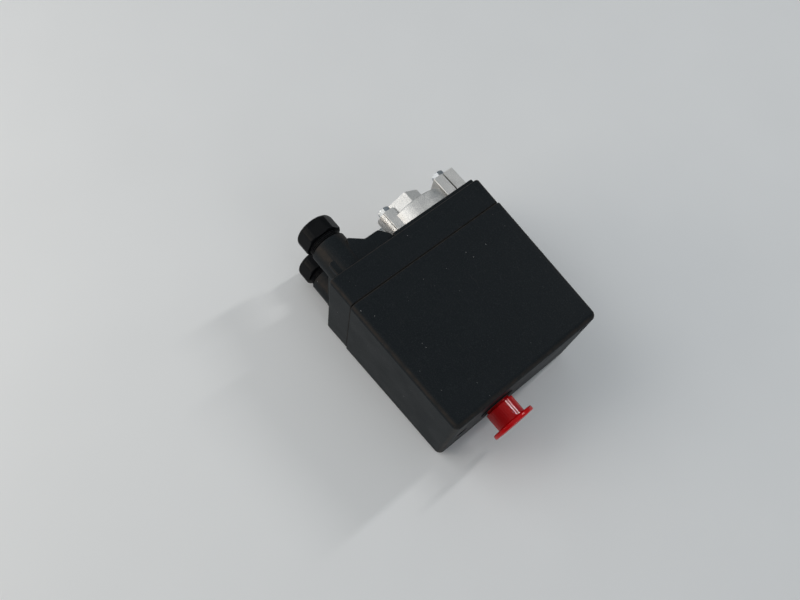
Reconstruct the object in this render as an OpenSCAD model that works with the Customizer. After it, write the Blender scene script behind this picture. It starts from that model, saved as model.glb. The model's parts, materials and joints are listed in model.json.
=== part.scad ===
// Pressure switch for an air compressor.
// The pressure port opens towards -X and the control knob towards +X, both along the service axis.
// The origin is the centre of the port's mouth. The switch lies on its back, with +Z up.

/* [Housing] */
// Length of the housing, from the flange face to the knob end
housing_l = 114.5; // [110:0.5:140]
// Width of the housing at the flange end
housing_w = 120; // [118:0.5:150]
// Thickness of the housing at the flange end, from back to front
housing_t = 76; // [75:0.5:95]
// How far each side leans in over the length of the housing
side_lean = 2.85; // [2:0.05:6]
// How far the front leans in over the length of the housing
front_lean = 5.25; // [4:0.05:6]
// Distance from the port axis to the nearer side of the housing
port_inset = 35.5; // [35:0.5:42]
// Depth of the base, from the flange face to the seam
base_depth = 20.3; // [18:0.1:26]
// Wall of the cover
cover_wall = 2.6; // [2.2:0.1:3.2]
// Thickness of the base's floor
floor_t = 3.5; // [3:0.1:6]
// Step by which the cover stands over the base
seam_step = 0.75; // [0.4:0.05:1]
// Gap at the seam between the base and the cover
seam_gap = 0.6; // [0.4:0.1:1]
// Corner radius of the cover
cover_r = 4; // [3.5:0.5:6]
// Corner radius of the base
base_r = 3.5; // [3:0.5:6]

/* [Pressure flange] */
// Distance from the port's mouth to the flange face of the base
port_reach = 29; // [27:0.5:36]
// Radius of the threaded port, at the tapping drill's size
port_r = 7.48; // [5.5:0.01:9]
// Depth of the threaded port
port_depth = 15; // [10:0.5:18]
// Size across the flats of the port's hexagon
port_af = 25; // [22:0.5:28]
// Length of the port's hexagon
port_hex_l = 13; // [10:0.5:16]
// Radius of the round diaphragm housing
disc_r = 28; // [26:0.5:30]
// Radius of the pressure chamber
chamber_r = 14; // [10:0.5:15]
// Distance of the narrow lugs' screws from the port axis, towards the glands
lug_near = 19.5; // [18:0.5:22]
// Distance of the wide lugs' screws from the port axis, away from the glands
lug_far = 27.2; // [24:0.1:28]
// Height of the flange screws above and below the port axis
lug_z = 14.5; // [12:0.5:17]
// Radius of a flange screw
flange_screw_r = 2.5; // [2:0.1:3]

/* [Cable glands] */
// Distance from the gland side of the housing to the gland axes
gland_inset = 18.5; // [17:0.5:24]
// Distance between the two gland axes
gland_spacing = 44; // [42:0.5:50]
// Outer radius of a gland boss
boss_r = 12; // [11.5:0.1:14]
// Length of a gland boss
boss_l = 24; // [16:0.5:28]
// Radius of the thread that holds a gland in its boss
gland_thread_r = 10; // [9:0.1:10.3]
// Radius of the cable way through a gland
cable_r = 6.5; // [4:0.1:7]
// Size across the flats of a gland cap
cap_af = 24.4; // [22:0.1:26]
// Length of a gland cap
cap_l = 12; // [11:0.5:16]
// Length of the ridged neck between the boss and the cap
neck_l = 4.5; // [4:0.1:6]

/* [Control knob] */
// Distance from the port axis to the knob axis, towards the glands
knob_offset = 42; // [40:0.5:46]
// Radius of the knob's stem
knob_stem_r = 10.2; // [8:0.1:12]
// Length of the stem in front of the cover, with its clear neck
knob_stem_l = 14; // [12:0.5:18]
// Radius of the knob's disc
knob_disc_r = 15; // [12:0.1:17]
// Thickness of the knob's disc
knob_disc_t = 3; // [2:0.1:4]
// Travel of the knob from pulled out to pushed in
knob_travel = 6; // [4:0.5:7]
// Radius of the rod that the knob moves
rod_r = 3; // [2:0.1:3.5]

/* [Mechanism] */
// Thickness of the steel plates
plate_t = 2; // [1.5:0.1:2.5]
// Distance from the mounting plate to the top plate
frame_h = 67.5; // [60:0.5:70]
// Clear width between the side plates
frame_w = 36; // [34:0.5:38]
// Distance from the port axis to the pivot of the rocker, towards the glands
pivot_offset = 16; // [14:0.5:16]
// Radius of the pivot pin
pin_r = 2.5; // [2:0.1:2.5]
// Radius of the adjusting screw
adjust_r = 4; // [3:0.1:5]
// Mean radius of the main spring
main_spring_r = 9; // [8:0.1:10]
// Wire diameter of the main spring
main_wire = 2.4; // [1.5:0.1:2.8]
// Distance from the port axis to the differential screw
diff_offset = 19; // [18:0.5:20]
// Radius of the diaphragm
diaphragm_r = 21; // [18:0.5:21.5]
// Radius of the piston's disc
piston_r = 12.5; // [9:0.5:13]
// Radius of the piston's stem
piston_stem_r = 5; // [3:0.1:6]

/* [Contacts] */
// Distance between neighbouring poles
pole_pitch = 17; // [15:0.5:17]
// Width of the terminal block, across the poles
block_w = 64; // [60:0.5:66]
// Length of the terminal block, from terminal to terminal
block_l = 39; // [37:0.5:40]
// Distance from the carrier axis to each contact tip
tip_offset = 8.5; // [8:0.1:9]
// Distance from the carrier axis to each terminal screw
terminal_offset = 15.5; // [15:0.1:16]

/* [Hidden] */
$fn = 64;

// Colours
hood_black = [0.07, 0.07, 0.08];
gland_black = [0.04, 0.04, 0.045];
bare_alloy = [0.78, 0.77, 0.74];
knob_red = [0.85, 0.06, 0.07];
zinc_steel = [0.66, 0.67, 0.68];
rubber_black = [0.03, 0.03, 0.03];
brass_yellow = [0.78, 0.62, 0.3];
bakelite = [0.16, 0.11, 0.08];
acetal = [0.88, 0.87, 0.82];

// Clearances
run_gap = 0.05;
free_gap = 0.3;
fit_gap = 0.2;
thread_gap = 0.02;

// Facets of a hull's own discs and balls, and the thickness of its discs
hull_fn = 32;
skin = 0.1;

// Housing stations along X
face_x = port_reach;
floor_x = face_x + floor_t;
seam_x = face_x + base_depth;
cover_x = seam_x + seam_gap;
end_x = face_x + housing_l;
end_wall = cover_wall + 0.2;
ceiling_x = end_x - end_wall;
mid_y = port_inset - housing_w / 2;
near_y = mid_y - housing_w / 2;
back_z = -housing_t / 2;
rim_gap = 0.4;
rim_t = 1.3;
rim_h = 3.7;
rim_root = 6;
rim_in = cover_wall + rim_gap;
cavity_in = rim_in + rim_t;
inner_r = 2;
gasket_in = 1.4;

// Flange stations
disc_x = port_hex_l;
lug_x = face_x - 22;
lug_w = 8;
lug_half_h = 7.5;
lug_top_z = lug_z + lug_half_h;
wide_lug_w = 16;
wide_lug_y = lug_far + 0.3;
groove_w = 1.1;
groove_d = 3;
groove_foot = 4;
port_turn = -6;
throat_r = 4;
diaphragm_t = 2;
flange_head_af = 8;
flange_head_h = 3.5;
flange_head_turn = 12;
flange_washer_r = flange_screw_r + 2.3;
chamber_depth = 7;
screw_hole_r = flange_screw_r + 0.25;
washer_t = 1;
flange_screws_at = [
    [-lug_near, lug_z], [-lug_near, -lug_z], [lug_far, lug_z], [lug_far, -lug_z]
];

// Gland stations
gland_y = near_y + gland_inset;
gland_z = gland_spacing / 2;
boss_x = face_x - boss_l;
cap_x = boss_x - neck_l;
cap_end_x = cap_x - cap_l;
neck_r = boss_r - 1;
cap_thread_r = 9.3;
cap_thread_l = 7.5;
gland_thread_l = 15;
cap_turn = -22;
cap_dome = 5;
cap_wall_end = 2.6;
neck_groove_pitch = 1.1;
neck_groove_w = 0.5;
neck_groove_d = 0.6;
seal_t = 1.6;

// Plinth that carries the gland bosses
plinth_x = face_x - 11.4;
plinth_near_y = gland_y - 10.5;
gusset_x = boss_x + 5;
gusset_y = gland_y + 9;
gusset_near_y = gusset_y - 3;
gusset_far_y = gusset_y + 9.2;
plinth_top_z = gland_z + 10;
plinth_step_x = face_x - 5;
plinth_edge_y = -disc_r - 4.5;

// Raised seat round the foot of the flange
seat_x = face_x - 2.8;
seat_near_y = plinth_edge_y - 1;
seat_far_y = lug_far + 3.3;
seat_top_z = housing_t / 2 - 2.3;

// Knob and rod stations
knob_y = -knob_offset;
neck_knob_r = knob_stem_r - 1.7;
knob_start_x = end_x + 2;
disc_start_x = end_x + knob_stem_l;
knob_tip_x = disc_start_x + knob_disc_t;
knob_in_x = ceiling_x - 7.7;
rod_tip_x = ceiling_x - 1.7;
socket_r = rod_r + 0.6;
socket_end_x = rod_tip_x + 11;
clip_t = 1.2;
clip_x = ceiling_x - free_gap - clip_t;
clip_slot = 3;
groove_r = neck_knob_r - 0.6;
collar_in_r = knob_stem_r + free_gap;
collar_t = 1;
hole_r = collar_in_r + collar_t + thread_gap;
collar_flange_r = collar_in_r + 2.1;
collar_flange_t = 0.8;

// Mechanism stations
plate_top_x = floor_x + plate_t;
top_plate_x = plate_top_x + frame_h;
rocker_x = floor_x + 14;
rocker_t = 2.5;
rocker_top_x = rocker_x + rocker_t;
rocker_w = 28;
rocker_end_y = knob_y - 5;
rocker_far_y = diff_offset + 4;
rocker_boss_r = main_spring_r - 2.5;
rocker_peg_r = 2.2;
pivot_x = rocker_x + 5.5;
pivot_y = -pivot_offset;
ear_t = 2;
ear_r = 5.5;
side_z = frame_w / 2;
pin_l = frame_w + 2 * plate_t + 5;
pin_groove_d = 0.5;
pin_clip_z = pin_l / 2 - 1.4;
pin_clip_half_t = 0.4;
pin_clip_r = pin_r + 1.8;
spring_plate_x = plate_top_x + 55.5;
spring_plate_t = 3;
diff_plate_x = plate_top_x + 53.5;
diff_plate_t = 3;
diff_screw_r = 2.5;
adjust_head_af = 13;
adjust_thread_x = plate_top_x + 30;
diff_head_af = 8;
diff_thread_x = plate_top_x + 34;
screw_ring_t = 2;
frame_edge_y = -14;
frame_far_y = diff_offset + 7;
arm_half_w = 8;
guide_r = chamber_r + 1.8;
piston_tip_x = rocker_x - free_gap;
rod_collar_x = plate_top_x + 49.5;
rod_collar_t = 2;
earth_y = -29;
earth_z = -14;
earth_r = 2;

// Unloader valve stations
unloader_r = 5;
unloader_z = -lug_top_z - unloader_r - 0.5;
unloader_y = sqrt(pow(disc_r + unloader_r + 1, 2) - pow(unloader_z, 2));
unloader_thread_r = unloader_r - 1;
unloader_in_x = face_x - 21;
unloader_step_x = face_x - 13;
unloader_end_x = floor_x + 10.5;
unloader_spring_x = face_x - 8;
plunger_foot_x = floor_x + 0.5;
plunger_foot_r = 3.05;
plunger_foot_t = 3;
plunger_r = 1.5;
unloader_nut_x = face_x - 23;
unloader_nut_af = 9;
tube_r = 2.05;

// Contact stations
block_x = rocker_top_x + 3;
ledge_x = block_x + 13.1;
block_top_x = ledge_x + 6.9;
block_end_w = 7.5;
leg_l = 14;
leg_half_w = 4.5;
barrier_t = 2;
ledge_w = 8.1;
carrier_x = block_x + 0.5;
carrier_h = 7.5;
carrier_w = 10;
carrier_top_x = carrier_x + carrier_h;
post_h = 6.5;
post_t = 1.6;
post_at = 4.2;
bar_h = 2;
carrier_foot_half_w = 8;
rod_foot_x = carrier_top_x + post_h + knob_travel + 2;
rod_foot_t = 3;
bridge_x = carrier_x + 9;
bridge_t = 1.2;
tip_r = 1.8;
tip_t = 1;
strip_t = 1.2;
strip_w = 8;
clamp_t = 1.2;
clamp_w = 7;
terminal_screw_r = 2;
terminal_screw_l = 9;
terminal_head_r = 3.3;
block_screw_r = 1.55;
block_post_r = 3.7;
pole_z = [-pole_pitch, 0, pole_pitch];
block_screw_z = block_w / 2 - block_end_w / 2;

// Pillars that the cover is screwed to
pillar_af = 7;
pillar_end_x = ceiling_x - 7;
pillar_boss_r = 6;
pillar_thread_l = 10;
cover_screw_r = 2;
cover_screw_l = 8;
cover_head_r = 3.6;
cover_head_t = 2.4;
slot_d = 1;
slot_w = 1;
cover_head_x = end_x - 4.3;
pillars_at = [[port_inset - 11.5, -back_z - 13], [near_y + 13.5, 0]];

// Half the width, and the front face, of the base at a station
function half_w(x) = housing_w / 2 - side_lean * (x - face_x) / housing_l;
function front_z(x) = housing_t / 2 - front_lean * (x - face_x) / housing_l;

// Stretch of the same length on both sides of a centre
function about(centre, half) = [centre - half, centre + half];

// Stretch of a given length from its low end
function span(low, length) = [low, low + length];

// Stretch between two distances from a centre, on one side of it
function flank(centre, side, near, far) =
    side > 0 ? [centre + near, centre + far] : [centre - far, centre - near];

// Points along a helix about X, as one tube
function coil_ring(i, rings, sides, x0, x1, r, wire, turns) = [
    for (k = [0 : sides - 1])
        let (turn = 360 * turns * i / rings, side = 360 * k / sides, out = r + wire / 2 * cos(side))
        [x0 + (x1 - x0) * i / rings + wire / 2 * sin(side), out * cos(turn), out * sin(turn)]
];

module coil(x0, x1, r, wire, turns, y = 0, z = 0, sides = 6, steps = 14) {
    rings = turns * steps;
    points = [
        for (i = [0 : rings])
            each coil_ring(i, rings, sides, x0 + wire / 2, x1 - wire / 2, r, wire, turns)
    ];
    walls = [
        for (i = [0 : rings - 1], k = [0 : sides - 1])
            let (a = i * sides + k, b = i * sides + (k + 1) % sides)
            each [[a, b, b + sides], [a, b + sides, a + sides]]
    ];
    start_cap = [[for (k = [0 : sides - 1]) sides - 1 - k]];
    end_cap = [[for (k = [0 : sides - 1]) rings * sides + k]];
    translate([0, y, z])
        polyhedron(points, concat(walls, start_cap, end_cap));
}

module xcyl(x0, x1, r, y = 0, z = 0) {
    translate([x0, y, z])
        rotate([0, 90, 0])
            cylinder(h = x1 - x0, r = r);
}

module xhex(x0, x1, af, y = 0, z = 0, turn = 0) {
    translate([x0, y, z])
        rotate([0, 90, 0])
            rotate([0, 0, turn])
                cylinder(h = x1 - x0, r = af / sqrt(3), $fn = 6);
}

module zcyl(z0, z1, r, x, y) {
    translate([x, y, z0])
        cylinder(h = z1 - z0, r = r);
}

module box(x, y, z) {
    translate([x[0], y[0], z[0]])
        cube([x[1] - x[0], y[1] - y[0], z[1] - z[0]]);
}

// Four discs at the corners of the housing's section at a station
module corner_discs(x, inset, step, r) {
    side = half_w(x) + step - inset - r;
    for (y = [mid_y - side, mid_y + side], z = [back_z + inset + r, front_z(x) + step - inset - r])
        translate([x, y, z])
            rotate([0, 90, 0])
                cylinder(h = skin, r = r, $fn = hull_fn);
}

// Four balls at the corners of the housing's closed end
module corner_balls(x, step, r) {
    side = half_w(x) + step - r;
    for (y = [mid_y - side, mid_y + side], z = [back_z + r, front_z(x) + step - r])
        translate([x, y, z])
            rotate([0, 90, 0])
                sphere(r = r, $fn = hull_fn);
}

// Solid between two stations that follows the lean of the housing
module drafted(x0, x1, inset, step, r) {
    hull() {
        corner_discs(x0, inset, step, r);
        corner_discs(x1 - skin, inset, step, r);
    }
}

module base_outside() {
    hull() {
        corner_balls(face_x + base_r, 0, base_r);
        corner_discs(face_x, 2, 0, base_r - 1.5);
        corner_discs(seam_x - skin, 0, 0, base_r);
    }
}

module plinth() {
    translate([0, 0, -plinth_top_z])
        linear_extrude(height = 2 * plinth_top_z)
            polygon([
                [face_x + 1, plinth_near_y],
                [plinth_x, plinth_near_y],
                [plinth_x, gusset_near_y],
                [gusset_x, gusset_y],
                [plinth_x, gusset_far_y],
                [plinth_x, plinth_edge_y - 5],
                [plinth_step_x, plinth_edge_y],
                [face_x + 1, plinth_edge_y]
            ]);
}

module base_housing() {
    color(hood_black)
    difference() {
        union() {
            difference() {
                base_outside();
                drafted(floor_x, seam_x + 1, cavity_in, seam_step, inner_r);
            }
            difference() {
                drafted(seam_x - rim_root, seam_x + rim_h, rim_in, seam_step, inner_r + 1);
                drafted(seam_x - rim_root - 1, seam_x + rim_h + 1, cavity_in, seam_step, inner_r);
            }
            plinth();
            difference() {
                box([seat_x, face_x + 1], [seat_near_y, seat_far_y], [-seat_top_z, seat_top_z]);
                flange_foot(fit_gap);
            }
            for (side = [-1, 1])
                xcyl(boss_x, face_x + 1, boss_r, gland_y, side * gland_z);
            for (side = [-1, 1])
                xcyl(floor_x - 1, block_x - leg_l, block_post_r, knob_y, side * block_screw_z);
        }
        for (side = [-1, 1])
            xcyl(boss_x - 1, floor_x + 1, gland_thread_r + thread_gap, gland_y, side * gland_z);
        xcyl(face_x - 1, face_x + diaphragm_t, diaphragm_r + fit_gap);
        xcyl(face_x, floor_x + 1, chamber_r + fit_gap);
        for (at = flange_screws_at)
            xcyl(face_x - 1, floor_x + 1, screw_hole_r, at[0], at[1]);
        xcyl(seat_x - 1, floor_x + 1, unloader_r + run_gap, unloader_y, unloader_z);
        for (side = [-1, 1])
            xcyl(floor_x + 0.5, block_x, block_screw_r + run_gap, knob_y, side * block_screw_z);
    }
}

module cover() {
    color(hood_black)
    difference() {
        union() {
            difference() {
                hull() {
                    corner_discs(cover_x, 0, seam_step, cover_r);
                    corner_balls(end_x - cover_r, seam_step, cover_r);
                }
                drafted(cover_x - 1, ceiling_x, cover_wall, seam_step, inner_r);
            }
            for (at = pillars_at)
                xcyl(pillar_end_x + free_gap, ceiling_x + 1, pillar_boss_r, at[0], at[1]);
        }
        xcyl(ceiling_x - 1, end_x + 1, hole_r, knob_y, 0);
        for (at = pillars_at) {
            xcyl(pillar_end_x, end_x, cover_screw_r + fit_gap, at[0], at[1]);
            xcyl(cover_head_x, end_x + 1, cover_head_r + 0.5, at[0], at[1]);
        }
    }
}

module cover_gasket() {
    color(rubber_black)
    difference() {
        drafted(seam_x, seam_x + seam_gap - 0.1, gasket_in, seam_step, inner_r + 1.5);
        drafted(seam_x - 1, seam_x + 2, rim_in - run_gap, seam_step, inner_r + 1);
    }
}

module cover_pillars() {
    color(zinc_steel)
    for (at = pillars_at)
        difference() {
            xhex(floor_x, pillar_end_x, pillar_af, at[0], at[1]);
            xcyl(pillar_end_x - pillar_thread_l, pillar_end_x + 1, cover_screw_r + thread_gap, at[0], at[1]);
        }
}

module cover_screws() {
    color(zinc_steel)
    for (at = pillars_at)
        difference() {
            union() {
                xcyl(pillar_end_x - cover_screw_l, cover_head_x + 1, cover_screw_r, at[0], at[1]);
                xcyl(cover_head_x, cover_head_x + cover_head_t, cover_head_r, at[0], at[1]);
            }
            box([cover_head_x + cover_head_t - slot_d, end_x],
                about(at[0], slot_w / 2), about(at[1], cover_head_r + 1));
        }
}

module knob() {
    color(knob_red)
    difference() {
        union() {
            xcyl(knob_in_x, knob_start_x + 1, neck_knob_r, knob_y);
            xcyl(knob_start_x, disc_start_x + 1, knob_stem_r, knob_y);
            xcyl(disc_start_x, knob_tip_x, knob_disc_r, knob_y);
        }
        xcyl(knob_in_x - 1, socket_end_x, socket_r, knob_y);
        difference() {
            xcyl(clip_x - 0.1, clip_x + clip_t + 0.1, neck_knob_r + 1, knob_y);
            xcyl(clip_x - 1, clip_x + clip_t + 1, groove_r, knob_y);
        }
    }
}

module knob_clip() {
    color(zinc_steel)
    difference() {
        xcyl(clip_x, clip_x + clip_t, collar_in_r + 2, knob_y);
        xcyl(clip_x - 1, clip_x + clip_t + 1, groove_r + run_gap, knob_y);
        box([clip_x - 1, clip_x + clip_t + 1], [knob_y - 2 * knob_stem_r, knob_y], about(0, clip_slot));
    }
}

module knob_collar() {
    color(rubber_black)
    difference() {
        union() {
            xcyl(ceiling_x, end_x + collar_flange_t, collar_in_r + collar_t, knob_y);
            xcyl(end_x, end_x + collar_flange_t, collar_flange_r, knob_y);
        }
        xcyl(ceiling_x - 1, end_x + 2, collar_in_r, knob_y);
    }
}

module switch_rod() {
    color(zinc_steel)
    union() {
        xcyl(rod_foot_x, rod_foot_x + rod_foot_t, rod_r + 2, knob_y);
        xcyl(rod_foot_x + 1, rod_tip_x, rod_r, knob_y);
        xcyl(rod_collar_x, rod_collar_x + rod_collar_t, rod_r + 2.5, knob_y);
    }
}

module rod_spring() {
    color(zinc_steel)
    coil(rod_collar_x + rod_collar_t + 0.1, top_plate_x - 0.1, rod_r + 1.8, 1.1, 6, knob_y, 0);
}

module narrow_lug(side, gap) {
    box([lug_x, face_x], about(-lug_near, lug_w / 2 + gap),
        flank(0, side, lug_z - lug_half_h - gap, lug_top_z + gap));
    xcyl(lug_x, face_x, lug_half_h + fit_gap + gap, -lug_near, side * (lug_z - 0.5));
}

module wide_lug(side, gap) {
    box([lug_x, face_x], about(wide_lug_y, wide_lug_w / 2 + gap),
        flank(0, side, lug_z - lug_half_h + 1 - gap, lug_top_z + gap));
}

// Diaphragm housing and lugs of the flange, grown by a gap for the seat that they stand in
module flange_foot(gap = 0) {
    xcyl(disc_x, face_x, disc_r + gap);
    for (side = [-1, 1]) {
        narrow_lug(side, gap);
        wide_lug(side, gap);
    }
}

module flange() {
    color(bare_alloy)
    difference() {
        union() {
            xhex(0, disc_x + 1, port_af, 0, 0, port_turn);
            flange_foot();
        }
        for (side = [-1, 1])
            box([lug_x - 1, face_x - groove_foot], about(lug_far, groove_w / 2),
                flank(0, side, lug_top_z - groove_d, lug_top_z + 1));
        xcyl(-1, port_depth, port_r);
        xcyl(port_depth - 1, face_x, throat_r);
        xcyl(face_x - chamber_depth, face_x + 1, chamber_r);
        for (at = flange_screws_at)
            xcyl(lug_x - 1, face_x + 1, screw_hole_r, at[0], at[1]);
    }
}

module flange_screws() {
    color(zinc_steel)
    for (at = flange_screws_at) {
        xhex(lug_x - washer_t - flange_head_h, lug_x - washer_t, flange_head_af, at[0], at[1],
            flange_head_turn);
        xcyl(lug_x - washer_t - 1, plate_top_x + 3, flange_screw_r, at[0], at[1]);
    }
}

module flange_washers() {
    color(zinc_steel)
    for (at = flange_screws_at)
        difference() {
            xcyl(lug_x - washer_t, lug_x, flange_washer_r, at[0], at[1]);
            xcyl(lug_x - 2, lug_x + 1, screw_hole_r, at[0], at[1]);
        }
}

module diaphragm() {
    color(rubber_black)
    xcyl(face_x + run_gap, face_x + diaphragm_t - run_gap, diaphragm_r);
}

module piston() {
    tip_r = piston_stem_r - 0.5;
    color(acetal)
    union() {
        xcyl(face_x + diaphragm_t, face_x + diaphragm_t + 2, piston_r);
        xcyl(face_x + diaphragm_t + 1, piston_tip_x - piston_stem_r - 1.2, piston_stem_r);
        translate([piston_tip_x - tip_r, 0, 0])
            sphere(r = tip_r);
        xcyl(piston_tip_x - piston_stem_r - 2, piston_tip_x - tip_r, tip_r - 0.4);
    }
}

module piston_guide() {
    color(acetal)
    difference() {
        union() {
            xcyl(plate_top_x, plate_top_x + 2, guide_r);
            xcyl(plate_top_x + 1, plate_top_x + 5, piston_stem_r + 3);
        }
        xcyl(plate_top_x - 1, plate_top_x + 6, piston_stem_r + run_gap);
    }
}

module mounting_plate() {
    color(zinc_steel)
    difference() {
        union() {
            box([floor_x, plate_top_x], [-24, port_inset - 5], about(0, side_z + plate_t));
            box([floor_x, plate_top_x], [earth_y - 5, -23], [-side_z - plate_t, earth_z + 6]);
        }
        xcyl(floor_x - 1, plate_top_x + 1, chamber_r);
        for (at = flange_screws_at)
            xcyl(floor_x - 1, plate_top_x + 1, flange_screw_r + thread_gap, at[0], at[1]);
        xcyl(floor_x - 1, plate_top_x + 1, earth_r + thread_gap, earth_y, earth_z);
    }
}

module side_plate(z0) {
    difference() {
        translate([0, 0, z0])
            linear_extrude(height = plate_t)
                polygon([
                    [plate_top_x, pivot_y - 5],
                    [plate_top_x, 6],
                    [plate_top_x + 25, 6],
                    [plate_top_x + 40, frame_far_y],
                    [top_plate_x, frame_far_y],
                    [top_plate_x, frame_edge_y],
                    [plate_top_x + 28, pivot_y - 5]
                ]);
        zcyl(z0 - 1, z0 + plate_t + 1, pin_r + thread_gap, pivot_x, pivot_y);
    }
}

module side_plates() {
    color(zinc_steel) {
        side_plate(side_z);
        side_plate(-side_z - plate_t);
    }
}

module top_plate() {
    color(zinc_steel)
    difference() {
        union() {
            box(span(top_plate_x, plate_t), [frame_edge_y, frame_far_y], about(0, side_z + plate_t));
            box(span(top_plate_x, plate_t), [knob_y - arm_half_w, frame_edge_y + 1], about(0, arm_half_w));
        }
        xcyl(top_plate_x - 1, top_plate_x + plate_t + 1, adjust_r + run_gap);
        xcyl(top_plate_x - 1, top_plate_x + plate_t + 1, diff_screw_r + run_gap, diff_offset);
        xcyl(top_plate_x - 1, top_plate_x + plate_t + 1, rod_r + run_gap, knob_y);
    }
}

module rocker() {
    ear_z = rocker_w / 2 - ear_t;
    color(zinc_steel)
    difference() {
        union() {
            box([rocker_x, rocker_top_x], [rocker_end_y, rocker_far_y], about(0, rocker_w / 2));
            box([rocker_x, rocker_top_x], [unloader_y - 4, unloader_y + 3.5], [unloader_z - 3, 0]);
            for (z0 = [-ear_z - ear_t, ear_z]) {
                zcyl(z0, z0 + ear_t, ear_r - 0.4, pivot_x, pivot_y);
                box([rocker_x + 1, pivot_x], about(pivot_y, 5), [z0, z0 + ear_t]);
            }
            xcyl(rocker_top_x - 1, rocker_top_x + 3, rocker_boss_r);
            xcyl(rocker_top_x - 1, rocker_top_x + 2.5, rocker_peg_r, diff_offset);
        }
        zcyl(-rocker_w, rocker_w, pin_r + run_gap, pivot_x, pivot_y);
    }
}

module pivot_pin() {
    color(zinc_steel)
    difference() {
        zcyl(-pin_l / 2, pin_l / 2, pin_r, pivot_x, pivot_y);
        for (side = [-1, 1])
            difference() {
                zcyl(side * pin_clip_z - pin_clip_half_t - run_gap,
                    side * pin_clip_z + pin_clip_half_t + run_gap, pin_r + 1, pivot_x, pivot_y);
                zcyl(-pin_l, pin_l, pin_r - pin_groove_d, pivot_x, pivot_y);
            }
    }
}

module pivot_clips() {
    color(zinc_steel)
    for (side = [-1, 1])
        difference() {
            zcyl(side * pin_clip_z - pin_clip_half_t, side * pin_clip_z + pin_clip_half_t,
                pin_clip_r, pivot_x, pivot_y);
            zcyl(-pin_l, pin_l, pin_r - pin_groove_d + thread_gap, pivot_x, pivot_y);
            box([pivot_x, pivot_x + 9], about(pivot_y, 1.4), [-pin_l, pin_l]);
        }
}

module main_spring() {
    color(zinc_steel)
    coil(rocker_top_x + 0.1, spring_plate_x - 0.1, main_spring_r, main_wire, 7);
}

module spring_plate() {
    color(zinc_steel)
    difference() {
        box(span(spring_plate_x, spring_plate_t), about(0, 12), about(0, side_z - free_gap));
        xcyl(spring_plate_x - 1, spring_plate_x + spring_plate_t + 1, adjust_r + run_gap);
    }
}

module adjusting_screw() {
    color(zinc_steel)
    union() {
        xcyl(adjust_thread_x, top_plate_x + plate_t + 3, adjust_r);
        xcyl(top_plate_x - free_gap - screw_ring_t, top_plate_x - free_gap, adjust_r + 2);
        xcyl(top_plate_x + plate_t + free_gap, top_plate_x + plate_t + 1.8, adjust_r + 4.5);
        xhex(top_plate_x + plate_t + 1, top_plate_x + plate_t + 7, adjust_head_af);
    }
}

module differential_spring() {
    color(zinc_steel)
    coil(rocker_top_x + 0.1, diff_plate_x - 0.1, 3.4, 1.2, 9, diff_offset, 0, 6, 12);
}

module differential_plate() {
    color(zinc_steel)
    difference() {
        box(span(diff_plate_x, diff_plate_t), about(diff_offset, 5), about(0, side_z - free_gap));
        xcyl(diff_plate_x - 1, diff_plate_x + diff_plate_t + 1, diff_screw_r + run_gap, diff_offset);
    }
}

module differential_screw() {
    color(zinc_steel)
    union() {
        xcyl(diff_thread_x, top_plate_x + plate_t + 2, diff_screw_r, diff_offset);
        xcyl(top_plate_x - free_gap - screw_ring_t, top_plate_x - free_gap, diff_screw_r + 1.5, diff_offset);
        xhex(top_plate_x + plate_t + free_gap, top_plate_x + plate_t + 4.3, diff_head_af, diff_offset);
    }
}

module terminal_block() {
    half = block_l / 2;
    end_z = block_w / 2 - block_end_w;
    color(bakelite)
    difference() {
        union() {
            for (side = [-1, 1]) {
                ledge_y = flank(knob_y, side, half - ledge_w, half);
                end_wall_z = flank(0, side, end_z, block_w / 2);
                box([block_x, ledge_x], ledge_y, about(0, block_w / 2));
                for (z = [-pole_pitch / 2, pole_pitch / 2])
                    box([block_x, block_top_x], ledge_y, about(z, barrier_t / 2));
                box([block_x, block_top_x], about(knob_y, half), end_wall_z);
                box([block_x - leg_l, block_x + 1], about(knob_y, leg_half_w), end_wall_z);
            }
        }
        for (side = [-1, 1])
            xcyl(block_x - leg_l - 1, block_top_x + 1, block_screw_r + 0.55, knob_y, side * block_screw_z);
        for (z = pole_z, side = [-1, 1])
            xcyl(block_x + 3, ledge_x + 1, terminal_screw_r + thread_gap, knob_y + side * terminal_offset, z);
    }
}

module block_screws() {
    color(zinc_steel)
    for (side = [-1, 1])
        difference() {
            union() {
                xcyl(block_x - leg_l - 4, block_top_x + 1, block_screw_r, knob_y, side * block_screw_z);
                xcyl(block_top_x, block_top_x + 2, 3.3, knob_y, side * block_screw_z);
            }
            box([block_top_x + 2 - slot_d, block_top_x + 3],
                about(knob_y, slot_w / 2), about(side * block_screw_z, 4));
        }
}

module contact_carrier() {
    reach = pole_pitch + 6;
    color(acetal)
    difference() {
        union() {
            box([carrier_x, carrier_top_x], about(knob_y, carrier_w / 2), about(0, reach));
            box([rocker_top_x + free_gap, carrier_x + 1], about(knob_y, 2), about(0, carrier_foot_half_w));
            for (z = pole_z) {
                for (side = [-1, 1])
                    box([carrier_top_x - 1, carrier_top_x + post_h],
                        about(knob_y, 2), about(z + side * post_at, post_t / 2));
                box([carrier_top_x + post_h - bar_h, carrier_top_x + post_h],
                    about(knob_y, 2), about(z, post_at + post_t / 2));
            }
        }
        for (z = pole_z)
            xcyl(carrier_x + 1.5, carrier_top_x + 0.1, 2.8, knob_y, z);
    }
}

module contact_bridges() {
    color(brass_yellow)
    for (z = pole_z) {
        box(span(bridge_x, bridge_t), about(knob_y, tip_offset + 2), about(z, 3));
        for (side = [-1, 1])
            xcyl(bridge_x + bridge_t - fit_gap, bridge_x + bridge_t + tip_t, tip_r,
                knob_y + side * tip_offset, z);
    }
}

module contact_springs() {
    color(zinc_steel)
    for (z = pole_z)
        coil(carrier_x + 1.6, bridge_x - 0.1, 2, 0.6, 5, knob_y, z, 5, 10);
}

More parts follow.
